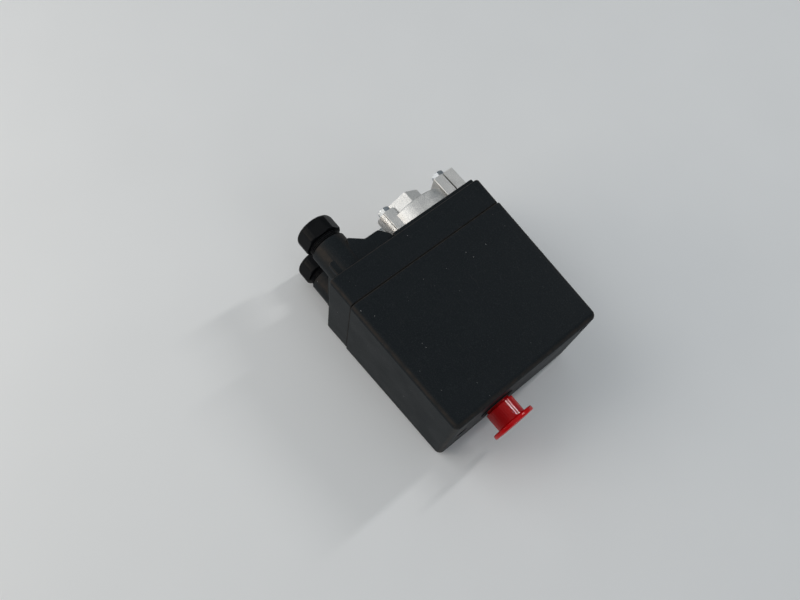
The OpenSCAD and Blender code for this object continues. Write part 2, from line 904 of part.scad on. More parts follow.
module fixed_contacts() {
    color(brass_yellow)
    for (z = pole_z, side = [-1, 1]) {
        difference() {
            box(span(ledge_x, strip_t), flank(knob_y, side, tip_offset - 2, block_l / 2 - 0.5),
                about(z, strip_w / 2));
            xcyl(ledge_x - 1, ledge_x + 3, terminal_screw_r + 0.1, knob_y + side * terminal_offset, z);
        }
        xcyl(ledge_x - tip_t, ledge_x + 0.2, tip_r, knob_y + side * tip_offset, z);
    }
}

module terminal_clamps() {
    color(zinc_steel)
    for (z = pole_z, side = [-1, 1])
        difference() {
            box(span(ledge_x + strip_t, clamp_t),
                about(knob_y + side * terminal_offset, clamp_w / 2), about(z, clamp_w / 2));
            xcyl(ledge_x, ledge_x + 4, terminal_screw_r + 0.1, knob_y + side * terminal_offset, z);
        }
}

// Screw with a slotted and crossed head that stands on the plane x
module pan_screw(x, y, z, r, head_r, length) {
    head_t = 2.2;
    slot_x = [x + head_t - slot_d, x + head_t + 1];
    difference() {
        union() {
            xcyl(x - length, x + 1, r, y, z);
            xcyl(x, x + head_t, head_r, y, z);
        }
        box(slot_x, about(y, slot_w / 2), about(z, head_r + 1));
        box(slot_x, about(y, head_r - 1), about(z, slot_w / 2));
    }
}

module terminal_screws() {
    color(zinc_steel)
    for (z = pole_z, side = [-1, 1])
        pan_screw(ledge_x + strip_t + clamp_t, knob_y + side * terminal_offset, z,
            terminal_screw_r, terminal_head_r, terminal_screw_l);
}

module earth_clamp() {
    color(brass_yellow)
    difference() {
        box(span(plate_top_x, clamp_t), about(earth_y, 4), about(earth_z, 4));
        xcyl(plate_top_x - 1, plate_top_x + 3, earth_r + 0.1, earth_y, earth_z);
    }
}

module earth_screw() {
    color(brass_yellow)
    pan_screw(plate_top_x + clamp_t, earth_y, earth_z, earth_r, 3.5, clamp_t + 1.8);
}

module gland_body(z) {
    color(gland_black)
    difference() {
        union() {
            xcyl(boss_x - 0.5, boss_x + gland_thread_l, gland_thread_r, gland_y, z);
            xcyl(cap_x + 0.5, boss_x, neck_r, gland_y, z);
            xcyl(cap_x - cap_thread_l, cap_x + 1, cap_thread_r, gland_y, z);
        }
        for (i = [1 : 3])
            difference() {
                groove_x = cap_x + neck_groove_pitch * i;
                xcyl(groove_x, groove_x + neck_groove_w, neck_r + 1, gland_y, z);
                xcyl(groove_x - 1, groove_x + neck_groove_w + 1, neck_r - neck_groove_d, gland_y, z);
            }
        xcyl(cap_x - cap_thread_l - 1, boss_x + gland_thread_l + 1, cable_r, gland_y, z);
    }
}

module gland_seal(z) {
    seal_x = cap_x - cap_thread_l - 0.1;
    color(rubber_black)
    difference() {
        xcyl(seal_x - seal_t, seal_x, cap_thread_r - free_gap, gland_y, z);
        xcyl(cap_end_x, cap_x, cable_r + 0.1, gland_y, z);
    }
}

// Hexagonal cap with its corners turned round and its outer end domed
module gland_cap(z) {
    corner_r = cap_af / sqrt(3) - 1;
    color(gland_black)
    difference() {
        intersection() {
            xhex(cap_end_x, cap_x, cap_af, gland_y, z, cap_turn);
            translate([cap_end_x, gland_y, z])
                rotate([0, 90, 0])
                    rotate_extrude()
                        polygon(concat(
                            [[0, 0]],
                            [for (a = [0 : 15 : 90])
                                [corner_r + cap_dome * (sin(a) - 1), cap_dome * (1 - cos(a))]],
                            [[corner_r, cap_l - 0.8], [corner_r - 0.8, cap_l], [0, cap_l]]
                        ));
        }
        xcyl(cap_end_x + cap_wall_end, cap_x + 1, cap_thread_r + run_gap, gland_y, z);
        xcyl(cap_end_x - 1, cap_x, cable_r + fit_gap, gland_y, z);
    }
}

module upper_gland_body() {
    gland_body(gland_z);
}

module upper_gland_seal() {
    gland_seal(gland_z);
}

module upper_gland_cap() {
    gland_cap(gland_z);
}

module lower_gland_body() {
    gland_body(-gland_z);
}

module lower_gland_seal() {
    gland_seal(-gland_z);
}

module lower_gland_cap() {
    gland_cap(-gland_z);
}

module unloader_body() {
    color(brass_yellow)
    difference() {
        union() {
            xcyl(unloader_in_x, unloader_step_x + 1, unloader_thread_r, unloader_y, unloader_z);
            xcyl(unloader_step_x, unloader_end_x, unloader_r, unloader_y, unloader_z);
        }
        xcyl(unloader_in_x - 1, unloader_spring_x, tube_r, unloader_y, unloader_z);
        xcyl(unloader_spring_x - 1, unloader_end_x - 3, plunger_foot_r + run_gap, unloader_y, unloader_z);
        xcyl(unloader_end_x - 4, unloader_end_x + 1, plunger_r + run_gap, unloader_y, unloader_z);
    }
}

module unloader_plunger() {
    color(zinc_steel)
    union() {
        xcyl(plunger_foot_x, plunger_foot_x + plunger_foot_t, plunger_foot_r, unloader_y, unloader_z);
        xcyl(plunger_foot_x + 1, piston_tip_x, plunger_r, unloader_y, unloader_z);
    }
}

module unloader_spring() {
    color(zinc_steel)
    coil(unloader_spring_x + 0.1, plunger_foot_x - 0.1, 2.3, 0.7, 6, unloader_y, unloader_z, 5, 10);
}

module unloader_nut() {
    color(brass_yellow)
    difference() {
        xhex(unloader_nut_x, unloader_step_x, unloader_nut_af, unloader_y, unloader_z);
        xcyl(unloader_in_x, unloader_step_x + 1, unloader_thread_r + thread_gap, unloader_y, unloader_z);
        xcyl(unloader_nut_x - 1, unloader_in_x + 1, tube_r, unloader_y, unloader_z);
    }
}

base_housing();
cover();
cover_gasket();
cover_pillars();
cover_screws();
knob();
knob_clip();
knob_collar();
switch_rod();
rod_spring();
flange();
flange_screws();
flange_washers();
diaphragm();
piston();
piston_guide();
mounting_plate();
side_plates();
top_plate();
rocker();
pivot_pin();
pivot_clips();
main_spring();
spring_plate();
adjusting_screw();
differential_spring();
differential_plate();
differential_screw();
terminal_block();
block_screws();
contact_carrier();
contact_bridges();
contact_springs();
fixed_contacts();
terminal_clamps();
terminal_screws();
earth_clamp();
earth_screw();
upper_gland_body();
upper_gland_seal();
upper_gland_cap();
lower_gland_body();
lower_gland_seal();
lower_gland_cap();
unloader_body();
unloader_plunger();
unloader_spring();
unloader_nut();
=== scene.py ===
"""Looks of the pressure switch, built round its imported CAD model.

Shapes are worked out in millimetres in the CAD's own frame: the pressure port opens towards -X,
the knob stands towards +X, and the switch lies on its back with +Z up.
"""

import json
import math

import bmesh
import bpy
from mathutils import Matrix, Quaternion, Vector

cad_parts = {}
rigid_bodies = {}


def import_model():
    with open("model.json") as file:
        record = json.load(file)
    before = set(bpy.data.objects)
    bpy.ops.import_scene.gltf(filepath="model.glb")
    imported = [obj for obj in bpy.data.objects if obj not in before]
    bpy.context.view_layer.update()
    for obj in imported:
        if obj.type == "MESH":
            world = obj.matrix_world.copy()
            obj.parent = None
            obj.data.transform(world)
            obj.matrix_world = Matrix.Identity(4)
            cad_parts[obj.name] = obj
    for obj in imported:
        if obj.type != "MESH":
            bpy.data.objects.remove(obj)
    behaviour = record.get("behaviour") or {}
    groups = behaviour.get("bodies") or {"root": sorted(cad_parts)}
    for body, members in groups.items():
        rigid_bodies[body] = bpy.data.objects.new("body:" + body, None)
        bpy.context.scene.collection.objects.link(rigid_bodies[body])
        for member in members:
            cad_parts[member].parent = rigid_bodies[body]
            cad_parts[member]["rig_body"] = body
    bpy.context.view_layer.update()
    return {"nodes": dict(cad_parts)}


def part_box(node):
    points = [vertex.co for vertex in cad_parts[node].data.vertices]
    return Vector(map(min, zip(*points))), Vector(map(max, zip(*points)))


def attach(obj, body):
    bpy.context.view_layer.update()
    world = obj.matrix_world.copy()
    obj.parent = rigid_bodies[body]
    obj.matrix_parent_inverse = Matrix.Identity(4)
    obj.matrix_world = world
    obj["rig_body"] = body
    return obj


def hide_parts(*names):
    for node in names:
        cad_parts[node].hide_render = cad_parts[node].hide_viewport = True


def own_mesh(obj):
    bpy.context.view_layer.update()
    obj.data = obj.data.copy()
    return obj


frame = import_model()
scene = bpy.context.scene
scene.view_settings.view_transform = "Standard"

MM = 0.001


# ---------------------------------------------------------------- camera

# Place in metres, angles in degrees, lens and sensor in millimetres.
CAMERA_PLACE = (0.16878, -0.20068, 0.44162)
CAMERA_AZIMUTH = 36.46
CAMERA_ELEVATION = 66.42
CAMERA_ROLL = 15.06
CAMERA_LENS = 33.75
SENSOR_WIDTH = 36


def add_camera():
    """The photograph's viewpoint: from above, between the gland side and the knob end."""
    azimuth, elevation = math.radians(CAMERA_AZIMUTH), math.radians(CAMERA_ELEVATION)
    towards = Vector((
        -math.sin(azimuth) * math.cos(elevation),
        math.cos(azimuth) * math.cos(elevation),
        -math.sin(elevation),
    ))
    camera = bpy.data.objects.new("camera", bpy.data.cameras.new("camera"))
    camera.data.lens = CAMERA_LENS
    camera.data.sensor_width = SENSOR_WIDTH
    camera.location = CAMERA_PLACE
    camera.rotation_mode = "QUATERNION"
    roll = Quaternion(towards, -math.radians(CAMERA_ROLL))
    camera.rotation_quaternion = roll @ towards.to_track_quat("-Z", "Y")
    scene.collection.objects.link(camera)
    scene.camera = camera


# ---------------------------------------------------------------- sizes and places, in millimetres

def low(node):
    """Lowest corner of a CAD node's box, in millimetres."""
    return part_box(node)[0] / MM


def high(node):
    """Highest corner of a CAD node's box, in millimetres."""
    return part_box(node)[1] / MM


def middle(node):
    """Middle of a CAD node's box, in millimetres."""
    return (low(node) + high(node)) / 2


# Housing, along X from the port's side to the knob's side.
FACE_X = high("flange").x
FLOOR_X = low("mounting_plate").x
SEAM_X = low("cover_gasket").x
COVER_X = low("cover").x
CEILING_X = low("knob_collar").x
HOUSING_LENGTH = 114.5
END_X = FACE_X + HOUSING_LENGTH
BACK_Z = low("cover").z
MID_Y = middle("cover").y
HALF_WIDTH = 60
SIDE_LEAN = 2.85 / HOUSING_LENGTH
FRONT_LEAN = 5.25 / HOUSING_LENGTH
BASE_R = 3.5
COVER_R = 4
COVER_WALL = 2.6
COVER_INNER_R = 2
SEAM_STEP = 0.75
SEAM_LIP = 0.45
RIM_INSET = 3
RIM_HEIGHT = 3.7
CAVITY_INSET = 4.3
# The least radius of a corner, and how far a cutting tool reaches past what it cuts.
LEAST_R = 0.05
PAST = 1

# Cover screws and the pillars that they go into.
PILLARS = ((24, 25), (-71, 0))
PILLAR_BOSS_X = high("cover_pillars").x + 0.3
PILLAR_BOSS_R = 6
COVER_SCREW_HOLE_R = 2.2
COVER_HEAD_HOLE_R = 4.1
COVER_HEAD_DEPTH = 4.3

# Pressure flange, whose port lies on the X axis.
PORT_ACROSS = 25
PORT_TURN = 24
PORT_CROWN = 0.96
PORT_ROOT_R = 7.48
PORT_CREST_R = 8.3
PORT_PITCH = 1.337
PORT_DEPTH = 15
DISC_X = 13
DISC_R = 28
THROAT_R = 4
CHAMBER_R = 14
CHAMBER_DEPTH = 7
LUG_X = FACE_X - 22
LUG_R = 0.6
NEAR_LUG_ROUND_R = 7.7
NEAR_LUG_ROUND_Z = 14
NEAR_SCREW_Y = -19.5
FAR_SCREW_Y = 27.2
SCREW_Z = 14.5
FLANGE_SCREWS = [(y, z) for y in (NEAR_SCREW_Y, FAR_SCREW_Y) for z in (SCREW_Z, -SCREW_Z)]
# The span of a lug along Y, and along Z on one side of the port.
NEAR_LUG = ((NEAR_SCREW_Y - 4, NEAR_SCREW_Y + 4), (7, 22))
FAR_LUG = ((FAR_SCREW_Y - 7.7, FAR_SCREW_Y + 8.3), (8, 22))
FAR_LUG_GROOVE = (FAR_SCREW_Y - 0.55, FAR_SCREW_Y + 0.55)
FLANGE_SCREW_R = 2.5
FLANGE_SCREW_HOLE_R = 2.75
FLANGE_SCREW_ACROSS = 8
FLANGE_SCREW_TURN = 42
SEAT_X = FACE_X - 2.8
SEAT_FAR_Y = 32.5
SEAT_HALF = 35.7
SEAT_GAP = 0.2
DIAPHRAGM_HOLE_R = 21.2
VALVE_HOLE_R = 5.05

# Cable glands and their raised seat.
GLAND_Y = middle("upper_gland_cap").y
GLAND_Z = middle("upper_gland_cap").z
BOSS_X = low("base_housing").x
BOSS_R = 12
GLAND_THREAD_R = 10
CABLE_R = 6.5
CAP_ACROSS = 24.4
CAP_TURN = 8
PLINTH_EDGE_Y = -DISC_R - 4.5
PLINTH_HEIGHT = 11.4
PLINTH_HALF = 32

# Knob, its collar, and the terminal block behind it.
KNOB_Y = middle("knob").y
KNOB_STEM_R = 10.2
KNOB_STEM_LENGTH = 14
KNOB_DISC_R = 15
COLLAR_R = high("knob_collar").y - KNOB_Y
COLLAR_BORE_R = COLLAR_R - 2.1
COVER_HOLE_R = COLLAR_BORE_R + 0.82
BLOCK_X = low("terminal_block").x
BLOCK_SCREW_Z = high("terminal_block").z - 3.75
BLOCK_SCREW_HOLE_R = 1.6
BLOCK_POST_R = 3.7


# ---------------------------------------------------------------- shapes: lists of points and faces

def rounded(corners, steps=4):
    """Closed outline through corners (u, v, radius), each one turned round by its radius."""
    straight = math.radians(89)
    outline = []
    for i, (u, v, radius) in enumerate(corners):
        here = Vector((u, v))
        before = (Vector(corners[i - 1][:2]) - here).normalized()
        after = (Vector(corners[(i + 1) % len(corners)][:2]) - here).normalized()
        half = before.angle(after) / 2
        if radius == 0 or half > straight:
            outline.append((u, v))
            continue
        centre = here + (before + after).normalized() * radius / math.sin(half)
        start = here + before * radius / math.tan(half) - centre
        turn = -math.copysign(math.pi - 2 * half, before.cross(after))
        for step in range(steps + 1):
            angle = turn * step / steps
            outline.append((
                centre.x + start.x * math.cos(angle) - start.y * math.sin(angle),
                centre.y + start.x * math.sin(angle) + start.y * math.cos(angle),
            ))
    return outline


def skin(rings, closed=False):
    """Shape through rings of points. Its two ends are capped, or joined to each other if closed."""
    count = len(rings[0])
    points = [p for ring in rings for p in ring]
    faces = []
    for i in range(len(rings) if closed else len(rings) - 1):
        a, b = i * count, (i + 1) % len(rings) * count
        faces += [(a + k, a + (k + 1) % count, b + (k + 1) % count, b + k) for k in range(count)]
    if not closed:
        faces.append(tuple(reversed(range(count))))
        faces.append(tuple(range(len(points) - count, len(points))))
    return points, faces


def lathe(profile, y=0, z=0, sides=72, bored=False, shape=None):
    """Profile of (x, radius) pairs turned about an axis along X. shape(x, radius, angle) alters it."""
    rings = []
    for x, radius in profile:
        ring = []
        for k in range(sides):
            angle = 2 * math.pi * k / sides
            r = shape(x, radius, angle) if shape else radius
            ring.append((x, y + r * math.cos(angle), z + r * math.sin(angle)))
        rings.append(ring)
    return skin(rings, closed=bored)


def bore(x0, x1, radius, y=0, z=0, sides=72):
    """Plain cylinder along X, for bores and bosses."""
    return lathe([(x0, radius), (x1, radius)], y, z, sides)


def ring(x0, x1, outer, inner, y=0, z=0, edge=0.3, sides=72):
    """Bored cylinder along X with rounded rims."""
    corners = [(x0, inner, edge), (x0, outer, edge), (x1, outer, edge), (x1, inner, edge)]
    return lathe(rounded(corners, 3), y, z, sides, bored=True)


def prism_x(x0, x1, outline):
    """Outline of (y, z) pairs carried along X."""
    return skin([[(x, y, z) for y, z in outline] for x in (x0, x1)])


def prism_z(z0, z1, outline):
    """Outline of (x, y) pairs carried along Z."""
    return skin([[(x, y, z) for x, y in outline] for z in (z0, z1)])


def block(x, y, z):
    """Box between the pairs x, y and z."""
    return prism_x(x[0], x[1], [(y[0], z[0]), (y[1], z[0]), (y[1], z[1]), (y[0], z[1])])


def six_sided(radius, angle, across, turn):
    """Radius held inside a hexagon by its size across the flats."""
    from_middle = (math.degrees(angle) - turn) % 60 - 30
    return min(radius, across / 2 / math.cos(math.radians(from_middle)))


def threaded(x, angle, x0, x1, root, crest, pitch):
    """Radius of a thread between x0 and x1, at a station and an angle. It fades out at both ends."""
    steepness = 2.4
    phase = (x / pitch - angle / (2 * math.pi)) % 1
    rise = min(1, steepness * (1 - abs(2 * phase - 1)))
    ends = min(1, (x - x0) / pitch, (x1 - x) / pitch)
    return root + (crest - root) * rise * max(0, ends)


def thread(x0, x1, root, crest, pitch, steps=8):
    """Threaded rod on the X axis: its radius runs between root and crest once for each pitch."""
    count = round((x1 - x0) / pitch * steps)
    stations = [(x0 + (x1 - x0) * i / count, crest) for i in range(count + 1)]
    return lathe(stations, shape=lambda x, radius, angle: threaded(x, angle, x0, x1, root, crest, pitch))


def coil(x0, x1, radius, wire, turns, y=0, sides=10, steps=26):
    """Compression spring along X, with the last turn at each end closed and lying flat."""
    closed_turn = 0.85
    count = round(turns * steps)
    rings = []
    for i in range(count + 1):
        turn = turns * i / count
        reach = min(turn, turns - turn)
        rise = wire * min(reach, closed_turn) / closed_turn
        lift = max(0, reach - closed_turn) / (turns / 2 - closed_turn)
        near_end = wire / 2 + rise + lift * ((x1 - x0) / 2 - wire * 1.5)
        x = x0 + near_end if turn < turns / 2 else x1 - near_end
        angle = 2 * math.pi * turn
        side = []
        for k in range(sides):
            around = 2 * math.pi * k / sides
            out = radius + wire / 2 * math.cos(around)
            side.append((
                x + wire / 2 * math.sin(around),
                y + out * math.cos(angle),
                out * math.sin(angle),
            ))
        rings.append(side)
    return skin(rings)


# ---------------------------------------------------------------- pieces: Blender objects

WELD = 1e-6  # metres
SHARP_ANGLE = 38


def solid(name, *shapes):
    """Mesh object of one or more closed shapes."""
    mesh = bpy.data.meshes.new(name)
    work = bmesh.new()
    for points, faces in shapes:
        corners = [work.verts.new(Vector(p) * MM) for p in points]
        for face in faces:
            work.faces.new([corners[k] for k in face])
    bmesh.ops.remove_doubles(work, verts=work.verts, dist=WELD)
    bmesh.ops.dissolve_degenerate(work, edges=work.edges, dist=WELD / 10)
    bmesh.ops.recalc_face_normals(work, faces=work.faces)
    work.to_mesh(mesh)
    work.free()
    piece = bpy.data.objects.new(name, mesh)
    scene.collection.objects.link(piece)
    return piece


def settle(piece):
    """Applies the piece's modifiers to its mesh."""
    graph = bpy.context.evaluated_depsgraph_get()
    mesh = bpy.data.meshes.new_from_object(piece.evaluated_get(graph))
    piece.modifiers.clear()
    piece.data = mesh


def combine(piece, operation, tools):
    """Joins tools to the piece or cuts them from it, and removes them."""
    for tool in tools:
        modifier = piece.modifiers.new(operation.lower(), "BOOLEAN")
        modifier.operation = operation
        modifier.object = tool
        modifier.solver = "EXACT"
    settle(piece)
    for tool in tools:
        bpy.data.objects.remove(tool)


def add(piece, *shapes):
    """Joins shapes to the piece."""
    combine(piece, "UNION", [solid("tool", shape) for shape in shapes])


def cut(piece, *shapes):
    """Cuts shapes from the piece."""
    combine(piece, "DIFFERENCE", [solid("tool", shape) for shape in shapes])


def heal(piece):
    """Joins the seams that cutting leaves open."""
    work = bmesh.new()
    work.from_mesh(piece.data)
    bmesh.ops.remove_doubles(work, verts=work.verts, dist=2 * WELD)
    bmesh.ops.dissolve_degenerate(work, edges=work.edges, dist=2 * WELD)
    loose = [edge for edge in work.edges if len(edge.link_faces) == 1]
    bmesh.ops.holes_fill(work, edges=loose, sides=0)
    work.to_mesh(piece.data)
    work.free()


def soften(piece, width, segments=2, angle=SHARP_ANGLE):
    """Rounds the edges that turn by more than an angle, by a width in millimetres."""
    modifier = piece.modifiers.new("edges", "BEVEL")
    modifier.width = width * MM
    modifier.segments = segments
    modifier.limit_method = "ANGLE"
    modifier.angle_limit = math.radians(angle)
    modifier.use_clamp_overlap = True
    modifier.miter_outer = "MITER_ARC"


def smooth(piece):
    """Shades the piece smooth, with its flat faces kept flat."""
    for face in piece.data.polygons:
        face.use_smooth = True
    piece.data.set_sharp_from_angle(angle=math.radians(SHARP_ANGLE))
    weighted = piece.modifiers.new("normals", "WEIGHTED_NORMAL")
    weighted.keep_sharp = True


def stand_for(piece, node, slot):
    """The piece takes the place and the body of a CAD node, which it hides, and the finish named by slot."""
    settle(piece)
    heal(piece)
    smooth(piece)
    piece.data.materials.clear()
    piece.data.materials.append(finishes[slot])
    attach(piece, frame["nodes"][node]["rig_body"])
    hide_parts(node)
    return piece


# ---------------------------------------------------------------- finishes

class Finish:
    """Node material whose textures lie in the part's own frame. Sizes are in millimetres."""

    def __init__(self, name, **settings):
        self.material = bpy.data.materials.new(name)
        self.material.use_nodes = True
        self.nodes = self.material.node_tree.nodes
        self.links = self.material.node_tree.links
        self.shader = self.nodes["Principled BSDF"]
        self.place = self.nodes.new("ShaderNodeTexCoord").outputs["Object"]
        for socket, value in settings.items():
            self.shader.inputs[socket].default_value = value

    def node(self, kind, **inputs):
        """New node with its inputs set, or linked where the value is a socket."""
        node = self.nodes.new(kind)
        for socket, value in inputs.items():
            socket = node.inputs[socket.replace("_", " ")]
            if isinstance(value, bpy.types.NodeSocket):
                self.links.new(value, socket)
            else:
                socket.default_value = value
        return node

    def noise(self, size, detail=3, stretch=(1, 1, 1), rough=0.55):
        """Noise whose patches are about that size. stretch draws them out along an axis."""
        mapping = self.node("ShaderNodeMapping", Vector=self.place)
        mapping.inputs["Scale"].default_value = [1 / s for s in stretch]
        texture = self.node("ShaderNodeTexNoise", Vector=mapping.outputs[0])
        texture.inputs["Scale"].default_value = 1 / (size * MM)
        texture.inputs["Detail"].default_value = detail
        texture.inputs["Roughness"].default_value = rough
        return texture.outputs["Fac"]

    def spread(self, value, start, end, low=0.0, high=1.0):
        """Maps the range start...end to low...high, and clamps it."""
        node = self.node("ShaderNodeMapRange", Value=value)
        ends = {"From Min": start, "From Max": end, "To Min": low, "To Max": high}
        for socket, number in ends.items():
            node.inputs[socket].default_value = number
        return node.outputs[0]

    def mix(self, factor, first, second):
        """Colour between two, where a colour is a socket or three numbers."""
        node = self.nodes.new("ShaderNodeMix")
        node.data_type = "RGBA"
        self.links.new(factor, node.inputs["Factor"])
        colour_sockets = node.inputs[6:8]
        for socket, colour in zip(colour_sockets, (first, second)):
            if isinstance(colour, bpy.types.NodeSocket):
                self.links.new(colour, socket)
            else:
                socket.default_value = (*colour, 1)
        return node.outputs[2]

    def times(self, first, second):
        """Product of two, where each is a socket or a number."""
        node = self.nodes.new("ShaderNodeMath")
        node.operation = "MULTIPLY"
        for socket, value in zip(node.inputs, (first, second)):
            if isinstance(value, bpy.types.NodeSocket):
                self.links.new(value, socket)
            else:
                socket.default_value = value
        return node.outputs[0]

    def edges(self, radius):
        """1 on edges and corners sharper than the radius, 0 on flat stretches."""
        bevel = self.node("ShaderNodeBevel")
        bevel.samples = 6
        bevel.inputs["Radius"].default_value = radius * MM
        geometry = self.nodes.new("ShaderNodeNewGeometry")
        dot = self.nodes.new("ShaderNodeVectorMath")
        dot.operation = "DOT_PRODUCT"
        self.links.new(bevel.outputs[0], dot.inputs[0])
        self.links.new(geometry.outputs["Normal"], dot.inputs[1])
        return self.spread(dot.outputs["Value"], 0.985, 0.90)

    def rubbed(self, radius, size, start, end, detail=3):
        """1 where edges sharper than the radius are worn, in patches of about that size."""
        return self.times(self.edges(radius), self.spread(self.noise(size, detail), start, end))

    def turned(self):
        """1 where the surface turns from one main direction to the next, along round edges."""
        normal = self.node("ShaderNodeTexCoord").outputs["Normal"]
        size = self.nodes.new("ShaderNodeVectorMath")
        size.operation = "ABSOLUTE"
        self.links.new(normal, size.inputs[0])
        axes = self.node("ShaderNodeSeparateXYZ", Vector=size.outputs[0]).outputs
        most = axes[0]
        for axis in (axes[1], axes[2]):
            larger = self.nodes.new("ShaderNodeMath")
            larger.operation = "MAXIMUM"
            self.links.new(most, larger.inputs[0])
            self.links.new(axis, larger.inputs[1])
            most = larger.outputs[0]
        return self.spread(most, 0.96, 0.78)

    def colour(self, value):
        """Takes the surface's colour from a socket."""
        self.links.new(value, self.shader.inputs["Base Color"])

    def roughness(self, noise, low, high):
        """Takes the roughness from a noise, over the middle of its range."""
        self.links.new(self.spread(noise, 0.3, 0.7, low, high), self.shader.inputs["Roughness"])

    def relief(self, *layers):
        """Bumps on bumps: each layer is a height from 0 to 1 and its depth in millimetres."""
        normal = None
        for height, depth in layers:
            bump = self.node("ShaderNodeBump", Height=height)
            bump.inputs["Strength"].default_value = 1
            bump.inputs["Distance"].default_value = depth * MM
            if normal:
                self.links.new(normal, bump.inputs["Normal"])
            normal = bump.outputs[0]
        self.links.new(normal, self.shader.inputs["Normal"])


def hood_plastic():
    """Matt black moulding: fine grain, faint lengthwise scuffs, pale nicks, rubbed edges and a painted
    brownish highlight along its round bends.
    """
    f = Finish("hood_plastic", **{"Specular IOR Level": 0.06})
    deep, pale, grain_tips = (0.0092, 0.0122, 0.0146), (0.0128, 0.0160, 0.0186), (0.032, 0.036, 0.040)
    # The last colour here is a painted highlight: the brownish sheen along the round bends, put into the
    # colour.
    scuffed, worn_edge, bend_highlight = (0.03, 0.03, 0.03), (0.06, 0.056, 0.052), (0.038, 0.032, 0.028)
    nicked = (0.35, 0.35, 0.35)
    blotches = f.noise(22, 4)
    grain = f.noise(0.55, 2)
    wave = f.noise(38, 1)
    scuffs = f.spread(f.noise(0.5, 3, (60, 1, 1)), 0.63, 0.74)
    nicks = f.spread(f.noise(1.3, 1, (1.8, 0.7, 1)), 0.80, 0.83)
    rubbed = f.rubbed(1.2, 3, 0.42, 0.7, 4)
    base = f.mix(blotches, deep, pale)
    base = f.mix(f.spread(grain, 0.50, 0.72, 0.0, 0.55), base, grain_tips)
    base = f.mix(f.times(scuffs, 0.5), base, scuffed)
    base = f.mix(f.times(rubbed, 0.6), base, worn_edge)
    # Painted highlight: a brownish band along the round bends, in noisy patches.
    base = f.mix(f.times(f.turned(), f.spread(f.noise(4, 4), 0.3, 0.7, 0.3, 0.9)), base, bend_highlight)
    f.colour(f.mix(nicks, base, nicked))
    f.roughness(blotches, 0.42, 0.52)
    f.relief((wave, 0.05), (grain, 0.035))
    return f.material


def gland_plastic():
    """Satin black nylon of the glands."""
    f = Finish("gland_plastic", **{"Specular IOR Level": 0.06})
    deep, pale, worn_edge = (0.0035, 0.004, 0.005), (0.008, 0.0085, 0.0095), (0.05, 0.052, 0.055)
    blotches = f.noise(7, 3)
    grain = f.noise(0.4, 2)
    rubbed = f.rubbed(0.6, 1.5, 0.4, 0.7)
    f.colour(f.mix(f.times(rubbed, 0.5), f.mix(blotches, deep, pale), worn_edge))
    f.roughness(blotches, 0.28, 0.40)
    f.relief((f.noise(12, 1), 0.03), (grain, 0.012))
    return f.material


def knob_plastic():
    """Glossy red plastic of the knob."""
    f = Finish("knob_plastic", **{"Specular IOR Level": 0.2})
    deep, bright, streak = (0.56, 0.002, 0.004), (0.70, 0.004, 0.006), (0.30, 0.002, 0.004)
    blotches = f.noise(6, 3)
    streaks = f.spread(f.noise(0.5, 3, (24, 1, 1)), 0.55, 0.75)
    f.colour(f.mix(f.times(streaks, 0.3), f.mix(blotches, deep, bright), streak))
    f.roughness(blotches, 0.09, 0.15)
    f.relief((f.noise(5, 1), 0.01), (f.noise(0.7, 2), 0.002))
    return f.material


def cast_alloy():
    """Bare die-cast aluminium: speckled grain, darker pores, bright rubbed edges."""
    f = Finish("cast_alloy", Metallic=1.0)
    dull, bright, worn_edge = (0.72, 0.71, 0.69), (0.90, 0.885, 0.85), (0.93, 0.92, 0.90)
    speckled, pore = (0.36, 0.36, 0.37), (0.20, 0.20, 0.20)
    clouds = f.noise(5, 4)
    speckle = f.noise(0.5, 3, rough=0.7)
    pores = f.spread(f.noise(0.9, 2), 0.70, 0.78)
    rubbed = f.rubbed(0.5, 2, 0.35, 0.6)
    base = f.mix(clouds, dull, bright)
    base = f.mix(f.spread(speckle, 0.42, 0.66, 0.0, 0.75), base, speckled)
    base = f.mix(f.times(pores, 0.6), base, pore)
    f.colour(f.mix(f.times(rubbed, 0.8), base, worn_edge))
    f.roughness(clouds, 0.34, 0.47)
    f.relief((f.noise(3, 2), 0.04), (speckle, 0.09))
    return f.material


def plated_steel():
    """Zinc-plated steel: cool tone, cloudy plating, fine drawing lines."""
    f = Finish("plated_steel", Metallic=1.0)
    dull, bright, yellowed = (0.34, 0.38, 0.42), (0.56, 0.59, 0.62), (0.66, 0.60, 0.46)
    worn_edge = (0.85, 0.86, 0.88)
    clouds = f.noise(6, 4)
    lines = f.noise(0.12, 2, (40, 1, 1))
    rubbed = f.rubbed(0.3, 1.2, 0.35, 0.6)
    base = f.mix(clouds, dull, bright)
    base = f.mix(f.spread(f.noise(2.2, 3), 0.58, 0.75, 0.0, 0.35), base, yellowed)
    f.colour(f.mix(f.times(rubbed, 0.7), base, worn_edge))
    f.roughness(clouds, 0.24, 0.38)
    f.relief((lines, 0.004), (f.noise(0.6, 2), 0.006))
    return f.material


def spring_steel():
    """Oiled drawn spring wire."""
    f = Finish("spring_steel", Metallic=1.0)
    clouds = f.noise(3, 3)
    f.colour(f.mix(clouds, (0.28, 0.29, 0.31), (0.48, 0.48, 0.49)))
    f.roughness(clouds, 0.22, 0.36)
    f.relief((f.noise(0.25, 2), 0.005))
    return f.material


def black_rubber():
    """Dull black rubber with a dusty bloom."""
    f = Finish("black_rubber", **{"Specular IOR Level": 0.3})
    bloom = f.noise(3, 4)
    f.colour(f.mix(f.spread(bloom, 0.45, 0.7), (0.008, 0.008, 0.008), (0.022, 0.022, 0.023)))
    f.roughness(bloom, 0.62, 0.8)
    f.relief((f.noise(0.4, 3), 0.02))
    return f.material


